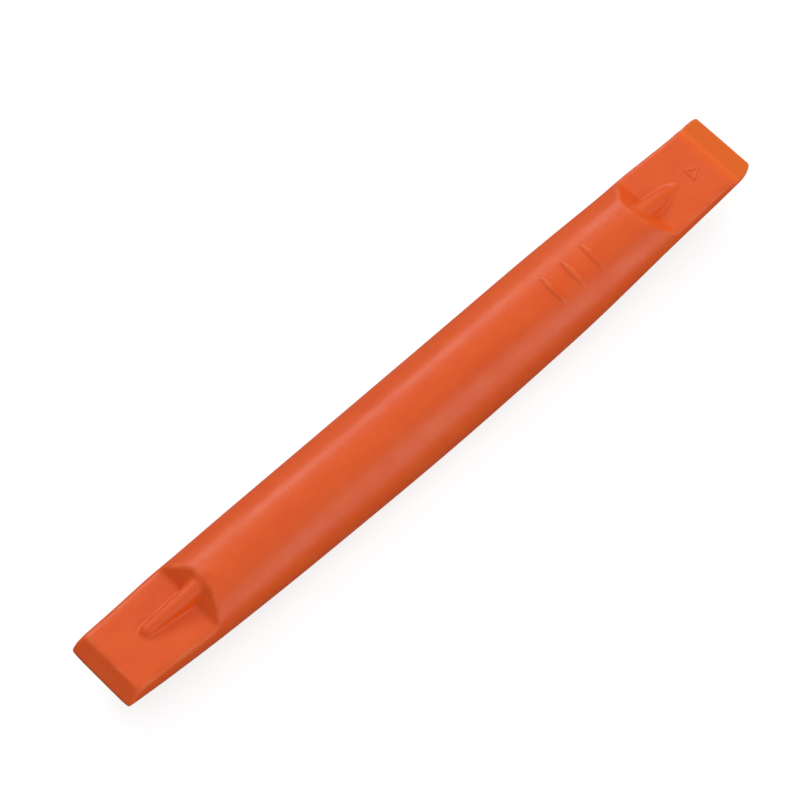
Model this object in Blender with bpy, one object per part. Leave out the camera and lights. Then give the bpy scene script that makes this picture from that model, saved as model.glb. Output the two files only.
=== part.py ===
"""Double-ended plastic pry tool (spudger) for opening electronics housings.

One solid injection moulding in orange nylon: a domed grip with a rocker-shaped
underside, a wide bevelled wedge at one end and a thin upturned lip at the other.
Each end has a flat working pad, a sloped shoulder up to the grip and a short
stiffening rib. Three small cross ridges and an outlined arrow tell the ends apart.

Axes: +X from the wedge tip to the lip tip, +Y across, +Z out of the pads.
The flat under the belly lies on Z = 0.
"""
import math

import bmesh
import bpy
from mathutils import Vector

MM = 0.001

# Outline, seen from above
TOOL_LENGTH = 84.0
GRIP_WIDTH = 9.8
WEDGE_SHOULDER_WIDTH = 9.1
LIP_SHOULDER_WIDTH = 8.92
WEDGE_TIP_WIDTH = 8.22
LIP_TIP_WIDTH = 8.22

# Heights over the flat under the belly
PAD_HEIGHT = 4.815
WEDGE_DOME_HEIGHT = 2.22
LIP_DOME_HEIGHT = 2.16
DOME_BULGE = 0.15

# Working pads and shoulders, measured along X from mid length
WEDGE_PAD_LINE = -30.7
WEDGE_PAD_RISE = 0.31
WEDGE_SHOULDER_SLOPE = 1.09
LIP_PAD_LINE = 31.25
LIP_PAD_RISE = 0.15
LIP_SHOULDER_SLOPE = 0.88

# Wedge tip
WEDGE_BEVEL_LENGTH = 1.58
WEDGE_BEVEL_DROP = 1.35

# Lip
LIP_LENGTH = 2.55
LIP_STEP = 0.45
LIP_STEP_RUN = 0.55
LIP_TIP_RISE = 0.53
LIP_EDGE = 0.16
LIP_UNDERCUT_LENGTH = 1.5
LIP_UNDERCUT_RISE = 1.28

# Ribs on the pads
RIB_SINK = 0.35
WEDGE_RIB_START = -36.5
WEDGE_RIB_END = -28.0
WEDGE_RIB_WIDTHS = (1.15, 2.45)
WEDGE_RIB_HEIGHTS = (0.45, 2.08)
WEDGE_RIB_OFFSETS = (0.14, -0.02)
WEDGE_RIB_NOSE = 0.75
RIB_NOSE_ANGLES = (22.0, 38.0, 54.0, 72.0, 90.0)
LIP_RIB_START = 29.0
LIP_RIB_END = 35.15
LIP_RIB_WIDTH = 2.2
LIP_RIB_HEIGHT = 1.8
LIP_RIB_OFFSET = -0.25
LIP_RIB_POINT = 0.985
LIP_RIB_PLAN_POWERS = (3.2, 0.8)
LIP_RIB_DROP_POWER = 0.85

# Cross ridges on the grip
RIDGE_X = (17.15, 19.87, 22.6)
RIDGE_CENTRE_Y = -0.76
RIDGE_LENGTH = 3.5
RIDGE_WIDTH = 0.8
RIDGE_HEIGHT = 0.16
RIDGE_SINK = 0.25
RIDGE_PLAN_POWER = 0.7
RIDGE_END_HEIGHT = 0.01

# Outlined arrow on the lip pad
ARROW_BASE_X = 36.8
ARROW_POINT_X = 38.35
ARROW_HALF_BASE = 0.92
ARROW_CENTRE_Y = -0.32
ARROW_LINE = 0.24
ARROW_HEIGHT = 0.12

# Section shape: widest line against the pad level, upright flanks under a domed cap, round belly
WIDEST_LINE = ((-42.0, -0.56), (-31.0, -1.51), (-16.0, -2.19), (0.0, -2.52),
               (16.0, -2.05), (31.0, -0.91), (42.0, -0.15))
WIDTH_STATIONS = (-42.0, -36.0, -31.0, -16.0, 0.0, 16.0, 31.0, 37.0, 42.0)
WEDGE_PAD_WIDTH = 8.7
LIP_PAD_WIDTH = 8.53
GRIP_QUARTER_WIDTHS = (9.58, 9.7)
FLANK_ROUNDNESS = 3.0
FLANK_REACH = 1.02
CAP_SHARE = ((-42.0, 1.06), (-36.0, 0.98), (-33.0, 0.98), (-28.0, 0.92), (0.0, 0.83), (28.0, 0.91),
             (33.0, 0.99), (38.0, 0.99), (42.0, 1.12))
CAP_ROUNDING = 0.5
BELLY_UNDER_WIDEST = ((-42.0, 0.98), (-36.0, 1.72), (-28.0, 2.1), (0.0, 2.4), (28.0, 1.75),
                      (36.0, 1.45), (42.0, 0.75))
BELLY_ROUNDNESS = ((-42.0, 4.5), (-31.0, 2.6), (0.0, 2.5), (31.0, 2.6), (42.0, 4.0))

# Where the body is sectioned: sides under and over the pad level, dome and belly
STATIONS = (-42.0, -41.1, -39.6, -38.2, -36.6, -34.9, -33.1, -31.5, -28.0, -25.5, -22.5, -19.5,
            -16.2, -13.0, -9.7, -6.5, -3.2, 0.0, 3.2, 6.5, 9.7, 13.0, 15.9, 18.5, 21.2, 24.4,
            28.0, 32.0, 33.6, 35.3, 37.0, 38.7, 41.2, 42.0)
SIDE_SHARES = (0.0, 0.3, 0.6, 0.85)
OVER_PAD = 0.42
DOME_ARC_POINTS = 10
BELLY_ARC_POINTS = 11

RIB_STATIONS = 9
RIB_RING = 18
RIDGE_STATIONS = 9
RIDGE_RING = 12
RIDGE_END_ANGLE = math.radians(78.0)
CUT_MARGIN = 3.0

ORANGE = (0.80, 0.118, 0.014, 1.0)
SATIN = 0.42


def clear_scene():
    """Start from an empty scene."""
    for old in list(bpy.data.objects):
        bpy.data.objects.remove(old, do_unlink=True)


def smooth_curve(knots, x):
    """Value at x of a smooth curve through the knots, without overshoot."""
    xs = [k[0] for k in knots]
    ys = [k[1] for k in knots]
    x = min(max(x, xs[0]), xs[-1])
    steps = [(ys[i + 1] - ys[i]) / (xs[i + 1] - xs[i]) for i in range(len(xs) - 1)]
    slopes = [steps[0]]
    for before, after in zip(steps, steps[1:]):
        same_way = before * after > 0.0
        slopes.append(2.0 * before * after / (before + after) if same_way else 0.0)
    slopes.append(steps[-1])
    i = 0
    while x > xs[i + 1]:
        i += 1
    span = xs[i + 1] - xs[i]
    u = (x - xs[i]) / span
    rise = 3.0 * u * u - 2.0 * u ** 3
    lead = u ** 3 - 2.0 * u * u + u
    tail = u ** 3 - u * u
    return ys[i] + rise * (ys[i + 1] - ys[i]) + span * (lead * slopes[i] + tail * slopes[i + 1])


def half_width(x):
    """Half the width of the tool at x."""
    widths = (WEDGE_TIP_WIDTH, WEDGE_PAD_WIDTH, WEDGE_SHOULDER_WIDTH, GRIP_QUARTER_WIDTHS[0], GRIP_WIDTH,
              GRIP_QUARTER_WIDTHS[1], LIP_SHOULDER_WIDTH, LIP_PAD_WIDTH, LIP_TIP_WIDTH)
    return 0.5 * smooth_curve(list(zip(WIDTH_STATIONS, widths)), x)


def dome_height(x):
    """Crest of the dome over the pad level at x."""
    run = (x - WEDGE_PAD_LINE) / (LIP_PAD_LINE - WEDGE_PAD_LINE)
    run = min(max(run, 0.0), 1.0)
    straight = WEDGE_DOME_HEIGHT + (LIP_DOME_HEIGHT - WEDGE_DOME_HEIGHT) * run
    return straight + DOME_BULGE * 4.0 * run * (1.0 - run)


def cap_half_width(x):
    """Half the width of the domed cap at x, at pad level."""
    return smooth_curve(CAP_SHARE, x) * half_width(x)


def dome_at(x, y):
    """Height of the dome over the pad level at a point in plan."""
    return dome_height(x) * (1.0 - (y / cap_half_width(x)) ** 2)


def side_at(x, height):
    """Half width of the section at x and a height: the flank or the cap, whichever is less."""
    low = smooth_curve(WIDEST_LINE, x)
    top = dome_height(x)
    share = (height - low) / (FLANK_REACH * (top - low))
    flank = half_width(x) * (1.0 - share ** FLANK_ROUNDNESS) ** (1.0 / FLANK_ROUNDNESS)
    cap = cap_half_width(x) * math.sqrt(max(1.0 - height / top, 0.0))
    near = max(1.0 - abs(flank - cap) / CAP_ROUNDING, 0.0)
    return min(flank, cap) - 0.25 * CAP_ROUNDING * near * near


def rounded_offset(angle, power):
    """Point on a unit superellipse: across, and up or down."""
    across = math.cos(angle)
    up = math.sin(angle)
    y = math.copysign(abs(across) ** (2.0 / power), across)
    z = math.copysign(abs(up) ** (2.0 / power), up)
    return y, z


def dome_side(x):
    """Right half of the top of the section at x: flank, then cap, ending near the crest."""
    low = smooth_curve(WIDEST_LINE, x)
    heights = [low * (1.0 - share) for share in SIDE_SHARES]
    foot = math.sqrt(1.0 - OVER_PAD / dome_height(x))
    for i in range(DOME_ARC_POINTS):
        across = foot * (1.0 - i / (DOME_ARC_POINTS - 0.5))
        heights.append(dome_height(x) * (1.0 - across ** 2))
    return [(side_at(x, height), height) for height in heights]


def belly_side(x):
    """Right half of the belly of the section at x, from near the bottom up to the side."""
    low = smooth_curve(WIDEST_LINE, x)
    below = smooth_curve(BELLY_UNDER_WIDEST, x)
    points = []
    for i in range(BELLY_ARC_POINTS):
        angle = 0.5 * math.pi * (BELLY_ARC_POINTS - 0.5 - i) / BELLY_ARC_POINTS
        y, z = rounded_offset(angle, smooth_curve(BELLY_ROUNDNESS, x))
        points.append((half_width(x) * y, low - below * z))
    return points


def body_ring(x):
    """Whole section of the blank at x, as points in metres."""
    right = belly_side(x) + dome_side(x)
    left = [(-y, z) for y, z in reversed(right)]
    return [Vector((x, y, PAD_HEIGHT + z)) * MM for y, z in right + left]


def loft(name, rings):
    """Closed solid through a row of rings, bridged one to the next."""
    bm = bmesh.new()
    loops = []
    for ring in rings:
        verts = [bm.verts.new(point) for point in ring]
        count = len(verts)
        loops.append([bm.edges.new((verts[i], verts[(i + 1) % count])) for i in range(count)])
    for near, far in zip(loops, loops[1:]):
        bmesh.ops.bridge_loops(bm, edges=near + far)
    for loop in (loops[0], loops[-1]):
        bmesh.ops.contextual_create(bm, geom=loop)
    return finish_mesh(name, bm)


def prism_along_y(name, profile):
    """Solid with the given XZ profile, longer across than the tool is wide."""
    reach = 0.5 * GRIP_WIDTH + CUT_MARGIN
    return extruded(name, [(x, -reach, z) for x, z in profile], (0.0, 2.0 * reach, 0.0))


def extruded(name, corners, sweep):
    """Solid made by sweeping a flat outline straight."""
    bm = bmesh.new()
    face = bm.faces.new([bm.verts.new(Vector(corner) * MM) for corner in corners])
    grown = bmesh.ops.extrude_face_region(bm, geom=[face])
    moved = [item for item in grown["geom"] if isinstance(item, bmesh.types.BMVert)]
    bmesh.ops.translate(bm, verts=moved, vec=Vector(sweep) * MM)
    return finish_mesh(name, bm)


def finish_mesh(name, bm):
    """Turn a bmesh into a linked object with outward faces."""
    bmesh.ops.recalc_face_normals(bm, faces=bm.faces)
    mesh = bpy.data.meshes.new(name)
    bm.to_mesh(mesh)
    bm.free()
    solid = bpy.data.objects.new(name, mesh)
    bpy.context.scene.collection.objects.link(solid)
    return solid


def join(body, name, tools, operation):
    """Boolean with a group of tools that stays on the body; the tools are kept as hidden wire."""
    group = bpy.data.collections.new(name)
    for tool in tools:
        tool.display_type = "WIRE"
        tool.hide_render = True
        group.objects.link(tool)
    boolean = body.modifiers.new(name, "BOOLEAN")
    boolean.operation = operation
    boolean.solver = "EXACT"
    boolean.operand_type = "COLLECTION"
    boolean.collection = group


def wedge_end_cutter():
    """What is milled off over the wedge: pad, shoulder and tip bevel."""
    tip = -0.5 * TOOL_LENGTH
    bevel_x = tip + WEDGE_BEVEL_LENGTH
    edge_z = PAD_HEIGHT + WEDGE_PAD_RISE - WEDGE_BEVEL_DROP
    beyond = CUT_MARGIN * WEDGE_BEVEL_DROP / WEDGE_BEVEL_LENGTH
    top = PAD_HEIGHT + WEDGE_DOME_HEIGHT + CUT_MARGIN
    shoulder_run = (top - PAD_HEIGHT) / WEDGE_SHOULDER_SLOPE
    return prism_along_y("wedge_end_cutter", [
        (tip - CUT_MARGIN, edge_z - beyond),
        (bevel_x, PAD_HEIGHT + WEDGE_PAD_RISE),
        (WEDGE_PAD_LINE, PAD_HEIGHT),
        (WEDGE_PAD_LINE + shoulder_run, top),
        (tip - CUT_MARGIN, top),
    ])


def lip_end_cutter():
    """What is milled off over the lip: shoulder, pad, step and upturned lip."""
    tip = 0.5 * TOOL_LENGTH
    step_x = tip - LIP_LENGTH
    floor_z = PAD_HEIGHT + LIP_PAD_RISE - LIP_STEP
    tip_z = PAD_HEIGHT + LIP_TIP_RISE
    floor_x = step_x + LIP_STEP_RUN
    beyond = CUT_MARGIN * (tip_z - floor_z) / (tip - floor_x)
    top = PAD_HEIGHT + LIP_DOME_HEIGHT + CUT_MARGIN
    shoulder_run = (top - PAD_HEIGHT) / LIP_SHOULDER_SLOPE
    return prism_along_y("lip_end_cutter", [
        (LIP_PAD_LINE - shoulder_run, top),
        (LIP_PAD_LINE, PAD_HEIGHT),
        (step_x, PAD_HEIGHT + LIP_PAD_RISE),
        (floor_x, floor_z),
        (tip + CUT_MARGIN, tip_z + beyond),
        (tip + CUT_MARGIN, top),
    ])


def lip_undercut_cutter():
    """Steep undercut behind the tip of the lip."""
    tip = 0.5 * TOOL_LENGTH
    edge_z = PAD_HEIGHT + LIP_TIP_RISE - LIP_EDGE
    slope = LIP_UNDERCUT_RISE / LIP_UNDERCUT_LENGTH
    back = LIP_UNDERCUT_LENGTH + CUT_MARGIN
    return prism_along_y("lip_undercut_cutter", [
        (tip - back, edge_z - back * slope),
        (tip + CUT_MARGIN, edge_z - back * slope),
        (tip + CUT_MARGIN, edge_z + CUT_MARGIN * slope),
    ])


def belly_cutter():
    """Flat under the belly that the tool rests on."""
    half = 0.5 * TOOL_LENGTH
    return prism_along_y("belly_cutter", [
        (-half, 0.0), (-half, -CUT_MARGIN), (half, -CUT_MARGIN), (half, 0.0),
    ])


def rib_ring(x, centre_y, half, base_z, height):
    """D-shaped rib section with its foot sunk into the pad."""
    ring = []
    for i in range(RIB_RING):
        y, z = rounded_offset(math.tau * i / RIB_RING, 2.0)
        z *= height if z > 0.0 else RIB_SINK
        ring.append(Vector((x, centre_y + y * half, base_z + z)) * MM)
    return ring


def wedge_rib_stations():
    """X of each rib section, with the share of full size it has in the nose."""
    stations = []
    for degrees in RIB_NOSE_ANGLES:
        angle = math.radians(degrees)
        x = WEDGE_RIB_START + WEDGE_RIB_NOSE * (1.0 - math.cos(angle))
        stations.append((x, math.sin(angle)))
    straight = WEDGE_RIB_END - stations[-1][0]
    first = stations[-1][0]
    for i in range(1, RIB_STATIONS):
        stations.append((first + straight * i / (RIB_STATIONS - 1.0), 1.0))
    return stations


def between(pair, share):
    """Value part of the way from the first of a pair to the second."""
    return pair[0] + (pair[1] - pair[0]) * share


def wedge_pad_height(x):
    """Height of the wedge pad at x."""
    pad_length = WEDGE_PAD_LINE + 0.5 * TOOL_LENGTH - WEDGE_BEVEL_LENGTH
    return PAD_HEIGHT + WEDGE_PAD_RISE * max((WEDGE_PAD_LINE - x) / pad_length, 0.0)


def wedge_rib():
    """Rib on the wedge pad: round free end, widening and rising to the shoulder."""
    rings = []
    for x, nose in wedge_rib_stations():
        run = (x - WEDGE_RIB_START) / (WEDGE_RIB_END - WEDGE_RIB_START)
        half = 0.5 * between(WEDGE_RIB_WIDTHS, run) * nose
        height = between(WEDGE_RIB_HEIGHTS, run) * nose
        rings.append(rib_ring(x, between(WEDGE_RIB_OFFSETS, run), half, wedge_pad_height(x), height))
    return loft("wedge_rib", rings)


def lip_rib():
    """Leaf-shaped rib running down from the shoulder to a point on the lip pad."""
    plan_start, plan_end = LIP_RIB_PLAN_POWERS
    rings = []
    for i in range(RIB_STATIONS):
        run = LIP_RIB_POINT * i / (RIB_STATIONS - 1.0)
        x = LIP_RIB_START + (LIP_RIB_END - LIP_RIB_START) * run
        half = 0.5 * LIP_RIB_WIDTH * (1.0 - run ** plan_start) ** plan_end
        height = LIP_RIB_HEIGHT * (1.0 - run) ** LIP_RIB_DROP_POWER
        rings.append(rib_ring(x, LIP_RIB_OFFSET, half, PAD_HEIGHT, height))
    return loft("lip_rib", rings)


def cross_ridge(index, x):
    """Lens-shaped ridge lying across the dome."""
    rings = []
    for i in range(RIDGE_STATIONS):
        across = math.sin(RIDGE_END_ANGLE * (2.0 * i / (RIDGE_STATIONS - 1.0) - 1.0))
        swell = 1.0 - across * across
        y = RIDGE_CENTRE_Y + 0.5 * RIDGE_LENGTH * across
        base = dome_at(x, y) - RIDGE_SINK * (1.0 - swell)
        ring = []
        for k in range(RIDGE_RING):
            angle = math.tau * k / RIDGE_RING
            along = 0.5 * RIDGE_WIDTH * swell ** RIDGE_PLAN_POWER * math.cos(angle)
            lift = math.sin(angle)
            lift *= RIDGE_HEIGHT * swell + RIDGE_END_HEIGHT if lift > 0.0 else RIDGE_SINK
            ring.append(Vector((x + along, y, PAD_HEIGHT + base + lift)) * MM)
        rings.append(ring)
    return loft("cross_ridge_%d" % (index + 1), rings)


def arrow_corners(inset):
    """Corners of the arrow outline, moved in by inset, base corners first."""
    rise = ARROW_POINT_X - ARROW_BASE_X
    side = math.hypot(rise, ARROW_HALF_BASE)
    base_x = ARROW_BASE_X + inset
    point_x = ARROW_POINT_X - inset * side / ARROW_HALF_BASE
    half = ARROW_HALF_BASE * (point_x - base_x) / rise
    return [(base_x, ARROW_CENTRE_Y - half), (point_x, ARROW_CENTRE_Y), (base_x, ARROW_CENTRE_Y + half)]


def arrow_mark():
    """Raised triangle outline pointing to the lip."""
    bm = bmesh.new()
    floor = PAD_HEIGHT - ARROW_HEIGHT
    corners = [Vector((x, y, floor)) * MM for x, y in arrow_corners(0.0)]
    face = bm.faces.new([bm.verts.new(corner) for corner in corners])
    opening = [Vector((x, y, floor)) * MM for x, y in arrow_corners(ARROW_LINE)]
    inner = [bm.verts.new(corner) for corner in opening]
    outer = list(face.verts)
    bm.faces.remove(face)
    for i in range(3):
        j = (i + 1) % 3
        bm.faces.new((outer[i], outer[j], inner[j], inner[i]))
    top = PAD_HEIGHT + LIP_PAD_RISE + ARROW_HEIGHT
    grown = bmesh.ops.extrude_face_region(bm, geom=list(bm.faces))
    moved = [item for item in grown["geom"] if isinstance(item, bmesh.types.BMVert)]
    bmesh.ops.translate(bm, verts=moved, vec=Vector((0.0, 0.0, top - floor)) * MM)
    return finish_mesh("arrow_mark", bm)


def orange_nylon():
    """Satin orange moulding material."""
    material = bpy.data.materials.new("orange_nylon")
    material.use_nodes = True
    shader = material.node_tree.nodes["Principled BSDF"]
    shader.inputs["Base Color"].default_value = ORANGE
    shader.inputs["Roughness"].default_value = SATIN
    return material


def build_spudger():
    """The whole moulding."""
    body = loft("spudger_body", [body_ring(x) for x in STATIONS])
    cuts = [wedge_end_cutter(), lip_end_cutter(), lip_undercut_cutter(), belly_cutter()]
    join(body, "end_and_belly_cuts", cuts, "DIFFERENCE")
    details = [wedge_rib(), lip_rib(), arrow_mark()]
    details += [cross_ridge(index, x) for index, x in enumerate(RIDGE_X)]
    join(body, "raised_details", details, "UNION")
    body.data.materials.append(orange_nylon())
    body.data.shade_smooth()
    return body


clear_scene()
build_spudger()
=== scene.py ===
import math

import bpy
import numpy as np
from mathutils import Matrix, Vector


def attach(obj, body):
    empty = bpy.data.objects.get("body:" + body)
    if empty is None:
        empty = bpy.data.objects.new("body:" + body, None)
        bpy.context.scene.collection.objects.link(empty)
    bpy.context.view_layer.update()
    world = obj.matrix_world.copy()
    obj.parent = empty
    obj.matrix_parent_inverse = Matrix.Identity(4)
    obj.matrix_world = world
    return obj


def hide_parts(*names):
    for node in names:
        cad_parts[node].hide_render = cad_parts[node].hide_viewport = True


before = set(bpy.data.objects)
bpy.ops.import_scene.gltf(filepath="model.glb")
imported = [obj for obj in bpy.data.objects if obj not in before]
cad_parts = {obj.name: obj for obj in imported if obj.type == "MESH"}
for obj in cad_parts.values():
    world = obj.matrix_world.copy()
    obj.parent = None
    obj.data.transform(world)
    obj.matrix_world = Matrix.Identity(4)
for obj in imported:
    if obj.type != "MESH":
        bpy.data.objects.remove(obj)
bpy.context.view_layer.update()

# ---------------------------------------------------------------------------
# The pry tool: one solid bar of orange nylon, moulded in one shot with a
# bevelled wedge at one end, an upturned lip at the other and a domed grip
# between. All sizes are millimetres, with heights counted from the pads.
# ---------------------------------------------------------------------------
MM = 0.001
HALF_LENGTH = 42.0
PAD_HEIGHT = 4.815
GRIP_CREST = 2.22

# Pads, shoulders and tips, as (x, z) where their planes meet
WEDGE_TIP = (-HALF_LENGTH, -1.04)
WEDGE_BEVEL = (-40.42, 0.31)
WEDGE_PAD_LINE = (-30.7, 0.0)
WEDGE_CREST = (-28.66, GRIP_CREST)
LIP_CREST = (28.75, 2.2)
LIP_PAD_LINE = (31.25, 0.0)
LIP_STEP = (39.45, 0.15)
LIP_FLOOR = (40.0, -0.3)
LIP_TIP = (HALF_LENGTH, 0.53)
LIP_UNDERCUT = (40.5, -0.91)
LIP_UNDER_TIP = (HALF_LENGTH, 0.37)

# The grip's section, as (x, value) along the tool
half_width_at = ((-42.0, 4.11), (-36.0, 4.35), (-31.0, 4.55), (-16.0, 4.79), (0.0, 4.9),
                 (16.0, 4.85), (31.0, 4.46), (37.0, 4.265), (42.0, 4.11))
widest_line_at = ((-42.0, -0.56), (-31.0, -1.51), (-16.0, -2.19), (0.0, -2.52),
                  (16.0, -2.05), (31.0, -0.91), (42.0, -0.15))
belly_depth_at = ((-42.0, 0.98), (-36.0, 1.72), (-28.0, 2.1), (0.0, 2.4), (28.0, 1.75),
                  (36.0, 1.45), (42.0, 0.75))
belly_roundness_at = ((-42.0, 4.5), (-31.0, 2.6), (0.0, 2.5), (31.0, 2.6), (42.0, 4.0))
cap_share_at = ((-42.0, 1.06), (-36.0, 0.98), (-33.0, 0.98), (-28.0, 0.92), (0.0, 0.83), (28.0, 0.91),
                (33.0, 0.99), (38.0, 0.99), (42.0, 1.12))


def curve_through(knots, x):
    """Smooth values through the knots, without overshoot."""
    xs, ys = np.array(knots, dtype=float).T
    step = np.diff(ys) / np.diff(xs)
    before, after = step[:-1], step[1:]
    both = before * after > 0.0
    inner = np.where(both, 2.0 * before * after / np.where(both, before + after, 1.0), 0.0)
    slope = np.concatenate([step[:1], inner, step[-1:]])
    x = np.clip(x, xs[0], xs[-1])
    i = np.clip(np.searchsorted(xs, x, side="right") - 1, 0, len(step) - 1)
    span = xs[i + 1] - xs[i]
    u = (x - xs[i]) / span
    rise = 3.0 * u * u - 2.0 * u ** 3
    lead = u ** 3 - 2.0 * u * u + u
    tail = u ** 3 - u * u
    return ys[i] + rise * (ys[i + 1] - ys[i]) + span * (lead * slope[i] + tail * slope[i + 1])


def soft_cut(a, b, radius):
    """What two cuts leave, with a rounded edge between them."""
    near = np.maximum(1.0 - np.abs(a - b) / radius, 0.0)
    return np.maximum(a, b) + 0.25 * radius * near * near


def soft_join(a, b, radius):
    """Two shapes together, with a fillet between them."""
    return -soft_cut(-a, -b, radius)


def edge_of(a, b, reach):
    """How close to the edge between two cuts a surface point is, 0 to 1."""
    return np.clip(1.0 - np.abs(a - b) / reach, 0.0, 1.0)


def under_line(x, z, x0, z0, x1, z1):
    """Distance over the plane that runs across the tool through two points."""
    length = math.hypot(x1 - x0, z1 - z0)
    return ((z - z0) * (x1 - x0) - (x - x0) * (z1 - z0)) / length


def ramp(low, high, value):
    """Smooth step from 0 at low to 1 at high."""
    u = np.clip((value - low) / (high - low), 0.0, 1.0)
    return u * u * (3.0 - 2.0 * u)


def between(pair, run):
    """Value that goes from the first of a pair to the second as run goes from 0 to 1."""
    return pair[0] + (pair[1] - pair[0]) * run


CREST_FALL = 0.06
CREST_BULGE = 0.6


def dome_crest(x):
    """Height of the grip's crest, nearly straight with a slight bulge."""
    run = np.clip((x - WEDGE_PAD_LINE[0]) / (LIP_PAD_LINE[0] - WEDGE_PAD_LINE[0]), 0.0, 1.0)
    return GRIP_CREST - CREST_FALL * run + CREST_BULGE * run * (1.0 - run)


FLANK_ROUNDNESS = 3.0
FLANK_OVER_CREST = 1.02
CAP_BLEND = 0.7
TINY = 1e-6
LEAST_STEEPNESS = 0.05


def grip_skin(x, y, z):
    """Distance over the domed cap, the upright flanks and the belly."""
    low = curve_through(widest_line_at, x)
    crest = dome_crest(x)
    up = z > low
    deep = np.where(up, FLANK_OVER_CREST * (crest - low), curve_through(belly_depth_at, x))
    power = np.where(up, FLANK_ROUNDNESS, curve_through(belly_roundness_at, x))
    wide = curve_through(half_width_at, x)
    across = np.abs(y) / wide + TINY
    over = np.abs(z - low) / deep + TINY
    total = across ** power + over ** power
    reach = total ** (1.0 / power)
    lean = total ** (1.0 / power - 1.0)
    steep = np.hypot(lean * across ** (power - 1.0) / wide, lean * over ** (power - 1.0) / deep)
    flank = (reach - 1.0) / np.maximum(steep, LEAST_STEEPNESS)
    cap_wide = curve_through(cap_share_at, x) * wide
    fall = 2.0 * crest * y / cap_wide ** 2
    cap = (z - crest * (1.0 - (y / cap_wide) ** 2)) / np.hypot(1.0, fall)
    return soft_cut(flank, cap, CAP_BLEND)


# Each pair is the value at the rib's nose and at the top of the shoulder
WEDGE_RIB_ENDS = (-36.5, -28.0)
WEDGE_RIB_WIDTHS = (1.15, 2.45)
WEDGE_RIB_HEIGHTS = (0.45, 2.08)
WEDGE_RIB_MIDDLES = (0.14, -0.02)
WEDGE_PAD_SLOPE = 0.032
NOSE_LENGTH = 0.75
RIB_ROUNDNESS = 2.1
STRETCH_ALLOWANCE = 0.9


def wedge_rib(x, y, z):
    """Rib on the wedge pad: a round nose, widening and rising to the top of the shoulder."""
    start, end = WEDGE_RIB_ENDS
    run = np.clip((x - start) / (end - start), 0.0, 1.0)
    half = 0.5 * between(WEDGE_RIB_WIDTHS, run)
    tall = between(WEDGE_RIB_HEIGHTS, run)
    middle = between(WEDGE_RIB_MIDDLES, run)
    base = np.maximum((WEDGE_PAD_LINE[0] - x) * WEDGE_PAD_SLOPE, 0.0)
    along = np.abs(np.minimum(x - start - NOSE_LENGTH, 0.0) / NOSE_LENGTH)
    across = np.abs((y - middle) / half)
    over = np.abs((z - base) / tall)
    size = (along ** RIB_ROUNDNESS + across ** RIB_ROUNDNESS + over ** RIB_ROUNDNESS) ** (1.0 / RIB_ROUNDNESS)
    return np.maximum((size - 1.0) * np.minimum(half, tall) * STRETCH_ALLOWANCE, x - end)


LIP_RIB_START = 29.0
LIP_RIB_LENGTH = 6.15
LIP_RIB_HALF_WIDTH = 1.1
LIP_RIB_HEIGHT = 1.8
LIP_RIB_MIDDLE = -0.25
LEAF_BELLY = 3.2
LEAF_POINT = 0.8
LEAF_FALL = 0.85
LEAF_BLUNTNESS = 0.02
LEAF_RUN_LIMIT = 0.999


def lip_rib(x, y, z):
    """Leaf-shaped rib, running down from the shoulder to a point on the lip pad."""
    run = np.clip((x - LIP_RIB_START) / LIP_RIB_LENGTH, 0.0, LEAF_RUN_LIMIT)
    half = LIP_RIB_HALF_WIDTH * (1.0 - run ** LEAF_BELLY) ** LEAF_POINT + LEAF_BLUNTNESS
    tall = LIP_RIB_HEIGHT * (1.0 - run) ** LEAF_FALL + LEAF_BLUNTNESS
    size = np.hypot((y - LIP_RIB_MIDDLE) / half, z / tall)
    past_point = x - LIP_RIB_START - LIP_RIB_LENGTH
    return np.maximum((size - 1.0) * np.minimum(half, tall) * STRETCH_ALLOWANCE, past_point)


RIDGE_PLACES = (17.15, 19.87, 22.6)
RIDGE_MIDDLE = -0.76
RIDGE_HALF_LENGTH = 1.8
RIDGE_HALF_WIDTH = 0.5
RIDGE_POINT_WIDTH = 0.02
RIDGE_HEIGHT = 0.2
RIDGE_SWELL = 0.6


def cross_ridges(x, y):
    """Height of the three small lens-shaped ridges across the grip."""
    swell = np.clip(1.0 - ((y - RIDGE_MIDDLE) / RIDGE_HALF_LENGTH) ** 2, 0.0, 1.0)
    lift = 0.0
    for place in RIDGE_PLACES:
        across = (x - place) / (RIDGE_HALF_WIDTH * np.sqrt(swell) + RIDGE_POINT_WIDTH)
        lift = lift + RIDGE_HEIGHT * swell ** RIDGE_SWELL * np.clip(1.0 - across ** 2, 0.0, 1.0)
    return lift


ARROW_BACK = 36.8
ARROW_LENGTH = 1.55
ARROW_HALF_WIDTH = 0.92
ARROW_MIDDLE = -0.32
ARROW_HEIGHT = 0.11
ARROW_OUTER_EDGE = (0.03, -0.05)
ARROW_INNER_EDGE = (-0.3, -0.2)


def arrow_mark(x, y):
    """Height of the raised triangle outline that points to the lip."""
    side = math.hypot(ARROW_LENGTH, ARROW_HALF_WIDTH)
    along = x - ARROW_BACK
    off = np.abs(y - ARROW_MIDDLE)
    slant = (along * ARROW_HALF_WIDTH + off * ARROW_LENGTH - ARROW_LENGTH * ARROW_HALF_WIDTH) / side
    inside = np.maximum(slant, -along)
    return ARROW_HEIGHT * ramp(*ARROW_OUTER_EDGE, inside) * ramp(*ARROW_INNER_EDGE, inside)


RING_CENTRE = (37.5, -0.05)
RING_RADIUS = 1.35
RING_DEPTH = 0.014
RING_WIDTH = 0.09
PIN_DEPTH = 0.006
PIN_EDGE = 0.06


def ejector_ring(x, y):
    """Depth of the faint ring that the ejector pin leaves round the arrow."""
    past_ring = np.hypot(x - RING_CENTRE[0], y - RING_CENTRE[1]) - RING_RADIUS
    ring = RING_DEPTH * np.exp(-(past_ring / RING_WIDTH) ** 2)
    return ring + PIN_DEPTH * ramp(PIN_EDGE, -PIN_EDGE, past_ring)


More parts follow.
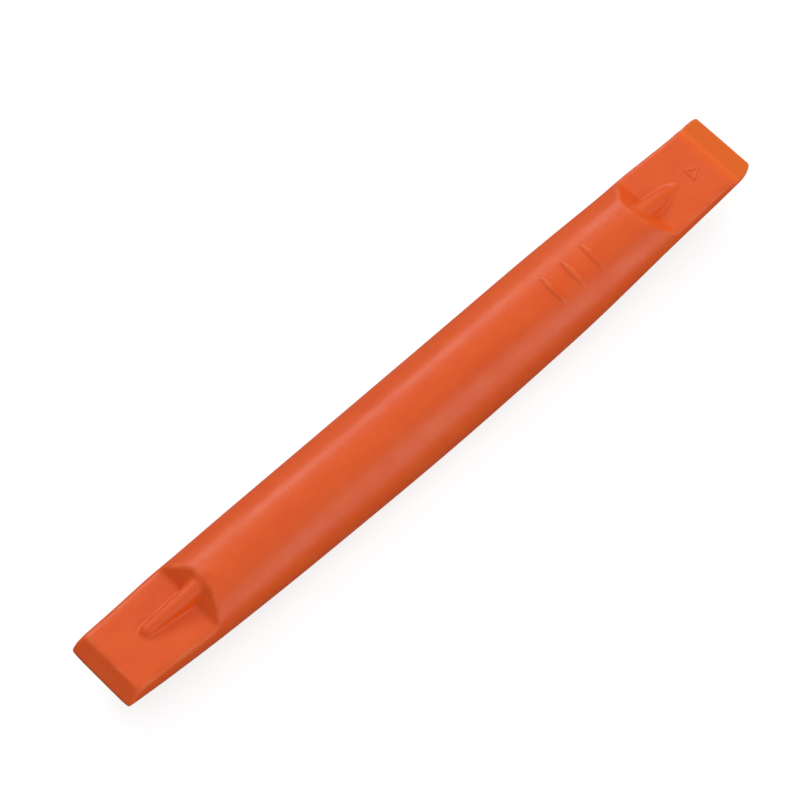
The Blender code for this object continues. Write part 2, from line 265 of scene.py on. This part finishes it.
BEVEL_ROUNDING = 0.22
WEDGE_WALL_FILLET = 0.28
BEVEL_WEAR = 0.2
BEVEL_WEAR_END = -39.0
BEVEL_WEAR_FLOOR = -1.4


def wedge_top(x, z):
    """Distance over the wedge's bevel, pad and shoulder, and closeness to the bevel's edge."""
    bevel = under_line(x, z, *WEDGE_TIP, *WEDGE_BEVEL)
    pad = under_line(x, z, *WEDGE_BEVEL, *WEDGE_PAD_LINE)
    wall = under_line(x, z, *WEDGE_PAD_LINE, *WEDGE_CREST)
    edge = edge_of(bevel, pad, BEVEL_WEAR) * (x < BEVEL_WEAR_END) * (z > BEVEL_WEAR_FLOOR)
    return soft_join(soft_cut(bevel, pad, BEVEL_ROUNDING), wall, WEDGE_WALL_FILLET), edge


STEP_ROUNDING = 0.4
BLADE_FILLET = 0.6
LIP_WALL_FILLET = 0.3
STEP_WEAR = 0.16
LIP_WEAR_START = 39.0
STEP_WEAR_FLOOR = -0.3


def lip_top(x, y, z):
    """Distance over the lip's shoulder, pad, step and blade, and closeness to the step's edge."""
    wall = under_line(x, z, *LIP_CREST, *LIP_PAD_LINE)
    pad = under_line(x, z, *LIP_PAD_LINE, *LIP_STEP) - arrow_mark(x, y) + ejector_ring(x, y)
    step = under_line(x, z, *LIP_STEP, *LIP_FLOOR)
    blade = under_line(x, z, *LIP_FLOOR, *LIP_TIP)
    edge = edge_of(pad, step, STEP_WEAR) * (x > LIP_WEAR_START) * (z > STEP_WEAR_FLOOR)
    top = soft_join(soft_join(soft_cut(pad, step, STEP_ROUNDING), blade, BLADE_FILLET), wall, LIP_WALL_FILLET)
    return top, edge


PARTING_LINE_HEIGHT = 0.022
PARTING_LINE_WIDTH = 0.07
CROWN_ROUNDING = 0.28
PAD_SIDE_ROUNDING = 0.24
WEDGE_PAD_START = (-41.6, -40.4)
WEDGE_PAD_END = (-30.6, -31.4)
RIB_FILLET = 0.3
UNDERCUT_ROUNDING = 0.25
BELLY_FLAT_ROUNDING = 0.08
WEDGE_END_ROUNDING = 0.12
LIP_END_ROUNDING = 0.08
CROWN_WEAR = 0.3
# Ridge heights over which the ridge crests fade into the edge mask, as a painted highlight
RIDGE_PAINTED_HIGHLIGHT = (0.08, 0.19)
END_WEAR = 0.16


def moulding(x, y, z):
    """Distance over the whole surface, and how close each point is to an edge; the crests of the grip ridges
    are added as a painted highlight.
    """
    ridges = cross_ridges(x, y)
    skin = grip_skin(x, y, z) - ridges
    low = curve_through(widest_line_at, x)
    skin = skin - PARTING_LINE_HEIGHT * np.exp(-((z - low) / PARTING_LINE_WIDTH) ** 2)
    wedge, wedge_edge = wedge_top(x, z)
    lip, lip_edge = lip_top(x, y, z)
    top = np.where(x < 0.0, wedge, lip)
    on_wedge_pad = ramp(*WEDGE_PAD_START, x) * ramp(*WEDGE_PAD_END, x)
    shape = soft_cut(skin, top, CROWN_ROUNDING + PAD_SIDE_ROUNDING * on_wedge_pad)
    edge = edge_of(skin, top, CROWN_WEAR)
    # The grip ridges' crests join the edge mask as a painted highlight.
    edge = np.maximum(edge, ramp(*RIDGE_PAINTED_HIGHLIGHT, ridges) * (z > 0.0))
    edge = np.maximum(edge, np.maximum(wedge_edge, lip_edge))
    shape = soft_join(shape, np.where(x < 0.0, wedge_rib(x, y, z), lip_rib(x, y, z)), RIB_FILLET)
    undercut = -under_line(x, z, *LIP_UNDERCUT, *LIP_UNDER_TIP)
    edge = np.maximum(edge, edge_of(shape, undercut, UNDERCUT_ROUNDING) * (x > LIP_WEAR_START))
    shape = soft_cut(shape, undercut, UNDERCUT_ROUNDING)
    shape = soft_cut(shape, -(z + PAD_HEIGHT), BELLY_FLAT_ROUNDING)
    end = np.abs(x) - HALF_LENGTH
    edge = np.maximum(edge, edge_of(shape, end, END_WEAR))
    rounding = np.where(x < 0.0, WEDGE_END_ROUNDING, LIP_END_ROUNDING)
    back = np.clip(rounding + end, 0.0, rounding)
    shape = shape + rounding - np.sqrt(rounding ** 2 - back ** 2)
    return shape, edge


# The bar is sectioned closest where its shape turns fastest: each pair is
# where a stretch starts and how far apart its sections are
SECTION_SPACING = ((-41.76, 0.085), (-39.9, 0.26), (-37.0, 0.085), (-35.4, 0.22), (-31.4, 0.075),
                   (-27.9, 0.62), (16.2, 0.075), (23.7, 0.5), (27.9, 0.085), (32.0, 0.11),
                   (35.5, 0.16), (36.0, 0.065), (38.95, 0.06), (40.2, 0.1))
LAST_STRETCH_END = 41.88
WEDGE_END_REACH = 0.16
WEDGE_END_SECTIONS = 7
LIP_END_REACH = 0.1
LIP_END_SECTIONS = 6
END_CROWDING = 1.6


def stations():
    """Where along the bar its sections are taken."""
    starts = [start for start, _ in SECTION_SPACING]
    ends = starts[1:] + [LAST_STRETCH_END]
    wedge_end = WEDGE_END_REACH * np.linspace(0.0, 1.0, WEDGE_END_SECTIONS) ** END_CROWDING
    lip_end = LIP_END_REACH * np.linspace(1.0, 0.0, LIP_END_SECTIONS) ** END_CROWDING
    stretches = [np.arange(start, end, spacing) for (start, spacing), end in zip(SECTION_SPACING, ends)]
    x = np.concatenate([wedge_end - HALF_LENGTH, *stretches, HALF_LENGTH - lip_end])
    return np.unique(np.round(x, 4))


TOP_POINTS = 116
BELLY_POINTS = 56
OUTLINE_STEPS = 8000
OUTLINE_SQUARENESS = 3.0
OUTLINE_HALF_WIDTH = 4.5
OUTLINE_HALF_HEIGHT = 1.8
OVER_RIB_REACH = 0.38
OVER_RIB_CLOSER = 0.9
SIDE_REACH = 0.16
SIDE_CLOSER = 1.2


def ring_directions():
    """Unit outline of a section: evenly spaced, closer over the ribs and along the sides."""
    angle = np.linspace(0.0, math.tau, OUTLINE_STEPS + 1)
    across = np.sign(np.cos(angle)) * np.abs(np.cos(angle)) ** (2.0 / OUTLINE_SQUARENESS)
    over = np.sign(np.sin(angle)) * np.abs(np.sin(angle)) ** (2.0 / OUTLINE_SQUARENESS)
    length = np.hypot(np.diff(across) * OUTLINE_HALF_WIDTH, np.diff(over) * OUTLINE_HALF_HEIGHT)
    middle = 0.5 * (across[1:] + across[:-1])
    height = 0.5 * (over[1:] + over[:-1])
    over_rib = (np.abs(middle) < OVER_RIB_REACH) * (height > 0.0)
    at_side = np.abs(height) < SIDE_REACH
    closer = 1.0 + OVER_RIB_CLOSER * over_rib + SIDE_CLOSER * at_side
    share = np.concatenate([[0.0], np.cumsum(length * closer)])
    half = share[OUTLINE_STEPS // 2]
    top = np.linspace(0.0, half, TOP_POINTS, endpoint=False)
    belly = np.linspace(half, share[-1], BELLY_POINTS, endpoint=False)
    wanted = np.concatenate([top, belly])
    return np.interp(wanted, share, across), np.interp(wanted, share, over)


def section_heights(x):
    """Lowest and highest point of each section on the centre line, edges left sharp."""
    knots = np.array([WEDGE_TIP, WEDGE_BEVEL, WEDGE_PAD_LINE, WEDGE_CREST, LIP_CREST,
                      LIP_PAD_LINE, LIP_STEP, LIP_FLOOR, LIP_TIP])
    top = np.minimum(np.interp(x, knots[:, 0], knots[:, 1]), dome_crest(x))
    low = curve_through(widest_line_at, x) - curve_through(belly_depth_at, x)
    under = np.interp(x, (LIP_UNDERCUT[0], LIP_UNDER_TIP[0]), (LIP_UNDERCUT[1], LIP_UNDER_TIP[1]))
    low = np.where(x > LIP_UNDERCUT[0], np.maximum(low, under), low)
    return low, top


SEARCH_REACH = 2.2
SEARCH_HALVINGS = 34
THIN_SPAN = (1.9, 0.5)


def moulded_mesh(name):
    """Finds the surface along rays from the middle of each section, and skins it."""
    x = stations()
    low, top = section_heights(x)
    middle = 0.5 * (low + top)
    across, over = ring_directions()
    aim_y = curve_through(half_width_at, x)[:, None] * across[None, :]
    aim_z = (0.5 * (top - low))[:, None] * over[None, :]
    grid_x = np.repeat(x[:, None], len(across), axis=1)
    inner = np.zeros_like(aim_y)
    outer = np.full_like(aim_y, SEARCH_REACH)
    for _ in range(SEARCH_HALVINGS):
        reach = 0.5 * (inner + outer)
        outside = moulding(grid_x, aim_y * reach, middle[:, None] + aim_z * reach)[0] > 0.0
        outer = np.where(outside, reach, outer)
        inner = np.where(outside, inner, reach)
    y = aim_y * inner
    z = middle[:, None] + aim_z * inner
    edge = moulding(grid_x, y, z)[1]
    # Mask for the painted glow of light through the lip: strongest where the section is thin, on the lip half
    # only
    thin = np.repeat((ramp(*THIN_SPAN, top - low) * (x > 0.0))[:, None], len(across), axis=1)
    points = np.stack([grid_x, y, z + PAD_HEIGHT], axis=-1).reshape(-1, 3) * MM
    rows, columns = grid_x.shape
    near = np.arange(rows - 1)[:, None] * columns + np.arange(columns)[None, :]
    ahead = np.arange(rows - 1)[:, None] * columns + (np.arange(columns)[None, :] + 1) % columns
    quads = np.stack([near, ahead, ahead + columns, near + columns], axis=-1).reshape(-1, 4)
    wedge_end = list(range(columns))[::-1]
    lip_end = list(range((rows - 1) * columns, rows * columns))
    mesh = bpy.data.meshes.new(name)
    mesh.from_pydata(points.tolist(), [], quads.tolist() + [wedge_end, lip_end])
    # edge: worn edges, with a painted highlight on the grip ridges' crests
    for label, values in (("edge", edge), ("thin", thin)):
        layer = mesh.attributes.new(label, "FLOAT", "POINT")
        layer.data.foreach_set("value", values.reshape(-1).astype(np.float32))
    mesh.validate()
    mesh.update()
    mesh.shade_smooth()
    return mesh


tool = bpy.data.objects.new("spudger", moulded_mesh("spudger"))
bpy.context.scene.collection.objects.link(tool)


def fine_grain():
    """Group: a fine grain and a broad blotch, in the unit of the coordinates given."""
    group = bpy.data.node_groups.new("fine_grain", "ShaderNodeTree")
    sockets = group.interface
    sockets.new_socket("Place", in_out="INPUT", socket_type="NodeSocketVector")
    sockets.new_socket("Scale", in_out="INPUT", socket_type="NodeSocketFloat")
    sockets.new_socket("Grain", in_out="OUTPUT", socket_type="NodeSocketFloat")
    sockets.new_socket("Blotch", in_out="OUTPUT", socket_type="NodeSocketFloat")
    entry = group.nodes.new("NodeGroupInput")
    leave = group.nodes.new("NodeGroupOutput")
    sized = group.nodes.new("ShaderNodeVectorMath")
    sized.operation = "SCALE"
    fine = group.nodes.new("ShaderNodeTexNoise")
    fine.inputs["Scale"].default_value = 1.0
    fine.inputs["Detail"].default_value = 2.0
    fine.inputs["Roughness"].default_value = 0.6
    broad = group.nodes.new("ShaderNodeTexNoise")
    broad.inputs["Scale"].default_value = 0.06
    broad.inputs["Detail"].default_value = 4.0
    broad.inputs["Roughness"].default_value = 0.55
    link = group.links.new
    link(entry.outputs["Place"], sized.inputs[0])
    link(entry.outputs["Scale"], sized.inputs["Scale"])
    link(sized.outputs[0], fine.inputs["Vector"])
    link(sized.outputs[0], broad.inputs["Vector"])
    link(fine.outputs["Fac"], leave.inputs["Grain"])
    link(broad.outputs["Fac"], leave.inputs["Blotch"])
    return group


grain_group = fine_grain()


class NodeBench:
    """Lays out and wires one material's nodes."""

    def __init__(self, material):
        material.use_nodes = True
        self.tree = material.node_tree
        self.shader = self.tree.nodes["Principled BSDF"]

    def add(self, kind, **settings):
        """New node, with its settings."""
        node = self.tree.nodes.new(kind)
        for key, value in settings.items():
            setattr(node, key, value)
        return node

    def wire(self, source, target):
        """Link from an output to an input."""
        self.tree.links.new(source, target)

    def spread(self, source, low, high, to_low=0.0, to_high=1.0):
        """Value stretched from one span to another, and held inside it."""
        node = self.add("ShaderNodeMapRange")
        self.wire(source, node.inputs["Value"])
        for name, value in (("From Min", low), ("From Max", high), ("To Min", to_low), ("To Max", to_high)):
            node.inputs[name].default_value = value
        return node.outputs["Result"]

    def combine(self, operation, first, second):
        """Two values, or a value and a number, put together."""
        node = self.add("ShaderNodeMath", operation=operation)
        self.wire(first, node.inputs[0])
        if isinstance(second, float):
            node.inputs[1].default_value = second
        else:
            self.wire(second, node.inputs[1])
        return node.outputs[0]

    def tint(self, share, first, second):
        """Colour that goes from the first to the second with the share."""
        node = self.add("ShaderNodeMix", data_type="RGBA")
        self.wire(share, node.inputs["Factor"])
        for socket, colour in ((node.inputs[6], first), (node.inputs[7], second)):
            if isinstance(colour, tuple):
                socket.default_value = colour
            else:
                self.wire(colour, socket)
        return node.outputs[2]

    def noise(self, place, scale, detail, stretch=(1.0, 1.0, 1.0)):
        """Noise with its features about 1 / scale across, in the unit of the place."""
        mapping = self.add("ShaderNodeMapping")
        mapping.inputs["Scale"].default_value = stretch
        self.wire(place, mapping.inputs["Vector"])
        texture = self.add("ShaderNodeTexNoise")
        texture.inputs["Scale"].default_value = scale
        texture.inputs["Detail"].default_value = detail
        self.wire(mapping.outputs["Vector"], texture.inputs["Vector"])
        return texture.outputs["Fac"]


ORANGE = (0.84, 0.096, 0.0035, 1.0)
ORANGE_PALE = (0.86, 0.112, 0.008, 1.0)
ORANGE_DEEP = (0.80, 0.080, 0.002, 1.0)
# Painted glow: a lighter, yellower orange for light coming through the thin lip
LIP_PAINTED_GLOW = (0.97, 0.165, 0.0001, 1.0)
# Lighter tint for worn edges, also used as a painted highlight on the grip ridges' crests
WORN_AND_HIGHLIGHT_TINT = (0.90, 0.23, 0.06, 1.0)
NYLON_GRAIN = 5.5
STREAK_SHARE = 0.45
PAINTED_GLOW_SHARE = 0.85
WORN_AND_HIGHLIGHT_SHARE = 0.4
SMOOTHEST = 0.37
ROUGHEST = 0.47
SCUFF_ROUGHNESS = 0.08
RUBBED_POLISH = 0.12
GRAIN_HEIGHT = 0.3
SKIN_HEIGHT = 0.9
SCUFF_DEPTH = 0.14
FLOW_STRETCH = (0.16, 1.0, 1.0)
HAIRLINE_STRETCH = (0.06, 2.4, 1.0)
CROSS_SCUFF_STRETCH = (2.2, 0.07, 1.0)


def orange_nylon():
    """Satin orange nylon: flow streaks, worn edges with a painted highlight on the grip ridges, hairline
    scuffs, and a painted amber glow of light through the lip where it is thin.
    """
    material = bpy.data.materials.new("orange_nylon")
    bench = NodeBench(material)
    shader = bench.shader
    place = bench.add("ShaderNodeTexCoord").outputs["Object"]
    in_mm = bench.add("ShaderNodeVectorMath", operation="SCALE")
    in_mm.inputs["Scale"].default_value = 1.0 / MM
    bench.wire(place, in_mm.inputs[0])
    mm = in_mm.outputs[0]
    grain = bench.add("ShaderNodeGroup", node_tree=grain_group)
    grain.inputs["Scale"].default_value = NYLON_GRAIN
    bench.wire(mm, grain.inputs["Place"])
    edge = bench.add("ShaderNodeAttribute", attribute_name="edge").outputs["Fac"]
    thin = bench.add("ShaderNodeAttribute", attribute_name="thin").outputs["Fac"]

    blotch = bench.spread(grain.outputs["Blotch"], 0.35, 0.68)
    colour = bench.tint(blotch, ORANGE, ORANGE_PALE)
    flow = bench.noise(mm, scale=0.5, detail=4.0, stretch=FLOW_STRETCH)
    streaks = bench.spread(flow, 0.5, 0.72)
    colour = bench.tint(bench.combine("MULTIPLY", streaks, STREAK_SHARE), colour, ORANGE_DEEP)
    # Painted glow of light through the lip, where it is thin
    colour = bench.tint(bench.combine("MULTIPLY", thin, PAINTED_GLOW_SHARE), colour, LIP_PAINTED_GLOW)
    # Lighter tint on worn edges; on the grip ridges' crests the same tint is a painted highlight
    worn = bench.spread(bench.noise(mm, scale=0.9, detail=5.0), 0.42, 0.66)
    worn_and_highlight = bench.combine("MULTIPLY", bench.combine("MULTIPLY", edge, worn), WORN_AND_HIGHLIGHT_SHARE)
    colour = bench.tint(worn_and_highlight, colour, WORN_AND_HIGHLIGHT_TINT)
    bench.wire(colour, shader.inputs["Base Color"])

    handled = bench.noise(mm, scale=0.22, detail=5.0)
    smudge = bench.spread(handled, 0.3, 0.7, SMOOTHEST, ROUGHEST)
    hairline = bench.spread(bench.noise(mm, scale=3.2, detail=2.0, stretch=HAIRLINE_STRETCH), 0.66, 0.74)
    across = bench.spread(bench.noise(mm, scale=3.0, detail=2.0, stretch=CROSS_SCUFF_STRETCH), 0.68, 0.76)
    scuffs = bench.combine("MAXIMUM", hairline, across)
    rough = bench.combine("ADD", smudge, bench.combine("MULTIPLY", scuffs, SCUFF_ROUGHNESS))
    rough = bench.combine("SUBTRACT", rough, bench.combine("MULTIPLY", worn_and_highlight, RUBBED_POLISH))
    bench.wire(rough, shader.inputs["Roughness"])

    skin = bench.combine("MULTIPLY", bench.noise(mm, scale=1.1, detail=2.0), SKIN_HEIGHT)
    height = bench.combine("ADD", bench.combine("MULTIPLY", grain.outputs["Grain"], GRAIN_HEIGHT), skin)
    height = bench.combine("SUBTRACT", height, bench.combine("MULTIPLY", scuffs, SCUFF_DEPTH))
    bump = bench.add("ShaderNodeBump")
    bump.inputs["Strength"].default_value = 0.55
    bump.inputs["Distance"].default_value = 0.06 * MM
    bench.wire(height, bump.inputs["Height"])
    bench.wire(bump.outputs["Normal"], shader.inputs["Normal"])

    shader.inputs["IOR"].default_value = 1.45
    shader.inputs["Subsurface Weight"].default_value = 0.12
    shader.inputs["Subsurface Radius"].default_value = (1.0, 0.32, 0.1)
    shader.inputs["Subsurface Scale"].default_value = 1.2 * MM
    return material


tool.data.materials.append(orange_nylon())
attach(tool, "root")
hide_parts("spudger_body")

# ---------------------------------------------------------------------------
# The bench top under the tool: a broad sheet of pale matt board. The tool
# rests on it on the small flat under its belly.
# ---------------------------------------------------------------------------
BENCH_REACH = 1.5
BENCH_GAP = 0.02 * MM
bench_mesh = bpy.data.meshes.new("bench_top")
bench_corners = [(side * BENCH_REACH, end * BENCH_REACH, 0.0)
                 for side, end in ((-1, -1), (1, -1), (1, 1), (-1, 1))]
bench_mesh.from_pydata(bench_corners, [], [(0, 1, 2, 3)])
bench_top = bpy.data.objects.new("bench_top", bench_mesh)
bench_top.location.z = -BENCH_GAP
bpy.context.scene.collection.objects.link(bench_top)

BOARD = (0.40, 0.40, 0.40, 1.0)
BOARD_PALE = (0.42, 0.42, 0.42, 1.0)
BOARD_BOUNCE = (0.3, 0.3, 0.3, 1.0)
BOARD_GLOW = 0.74
BOARD_GRAIN = 900.0


def pale_board():
    """Matt white board with a trace of tooth, glowing softly where it is looked at."""
    material = bpy.data.materials.new("pale_board")
    bench = NodeBench(material)
    place = bench.add("ShaderNodeTexCoord").outputs["Object"]
    grain = bench.add("ShaderNodeGroup", node_tree=grain_group)
    grain.inputs["Scale"].default_value = BOARD_GRAIN
    bench.wire(place, grain.inputs["Place"])
    board = bench.tint(grain.outputs["Blotch"], BOARD, BOARD_PALE)
    seen = bench.add("ShaderNodeLightPath").outputs["Is Camera Ray"]
    colour = bench.tint(seen, BOARD_BOUNCE, board)
    bench.wire(colour, bench.shader.inputs["Base Color"])
    bench.shader.inputs["Emission Color"].default_value = (1.0, 1.0, 1.0, 1.0)
    bench.wire(bench.combine("MULTIPLY", seen, BOARD_GLOW), bench.shader.inputs["Emission Strength"])
    bench.shader.inputs["Roughness"].default_value = 0.9
    bench.shader.inputs["Specular IOR Level"].default_value = 0.1
    return material


bench_mesh.materials.append(pale_board())

# ---------------------------------------------------------------------------
# Studio: two large soft boxes on the lip side, one behind the tool and one in
# front, in a bright room. They give the two long bands of light on the grip.
# ---------------------------------------------------------------------------
BOX_DISTANCE = 0.9
BOX_SIZE = (0.8, 0.25)


def soft_box(name, azimuth, elevation, energy):
    """Area light aimed at the tool from a compass angle in the tool's own frame."""
    lamp = bpy.data.lights.new(name, "AREA")
    lamp.shape = "RECTANGLE"
    lamp.size, lamp.size_y = BOX_SIZE
    lamp.energy = energy
    holder = bpy.data.objects.new(name, lamp)
    turn, tilt = math.radians(azimuth), math.radians(elevation)
    toward = Vector((math.cos(turn) * math.cos(tilt), math.sin(turn) * math.cos(tilt), math.sin(tilt)))
    holder.location = toward * BOX_DISTANCE
    holder.rotation_euler = toward.to_track_quat("Z", "Y").to_euler()
    bpy.context.scene.collection.objects.link(holder)


soft_box("back_box", azimuth=68.0, elevation=32.0, energy=3.2)
soft_box("front_box", azimuth=-70.0, elevation=22.0, energy=2.3)

ROOM_AT_BENCH = 0.19
ROOM_OVERHEAD = 0.80
room = bpy.data.worlds.new("bright_room")
bpy.context.scene.world = room
room.use_nodes = True
sky = room.node_tree.nodes
direction = sky.new("ShaderNodeTexCoord")
height = sky.new("ShaderNodeSeparateXYZ")
glow = sky.new("ShaderNodeMapRange")
glow.inputs["To Min"].default_value = ROOM_AT_BENCH
glow.inputs["To Max"].default_value = ROOM_OVERHEAD
room.node_tree.links.new(direction.outputs["Generated"], height.inputs[0])
room.node_tree.links.new(height.outputs["Z"], glow.inputs["Value"])
room.node_tree.links.new(glow.outputs["Result"], sky["Background"].inputs["Strength"])
sky["Background"].inputs["Color"].default_value = (1.0, 1.0, 1.0, 1.0)
bpy.context.scene.view_settings.view_transform = "Standard"

# ---------------------------------------------------------------------------
# Camera: a long lens looking down on the pads from the wedge side. It looks at
# the middle of the tool at pad height, then pans a little to frame the tool.
# ---------------------------------------------------------------------------
CAMERA_AZIMUTH = math.radians(226.18)
CAMERA_ELEVATION = math.radians(62.59)
CAMERA_DISTANCE = 0.40895
CAMERA_PAN = math.radians(0.287)
lens = bpy.data.cameras.new("camera")
lens.lens = 189.0
lens.sensor_width = 36.0
lens.clip_start = 0.01
camera = bpy.data.objects.new("camera", lens)
back = Vector((math.cos(CAMERA_AZIMUTH) * math.cos(CAMERA_ELEVATION),
               math.sin(CAMERA_AZIMUTH) * math.cos(CAMERA_ELEVATION), math.sin(CAMERA_ELEVATION)))
camera.location = back * CAMERA_DISTANCE + Vector((0.0, 0.0, PAD_HEIGHT * MM))
facing = back.to_track_quat("Z", "Y").to_matrix()
camera.rotation_euler = (facing @ Matrix.Rotation(CAMERA_PAN, 3, "Y")).to_euler()
bpy.context.scene.collection.objects.link(camera)
bpy.context.scene.camera = camera
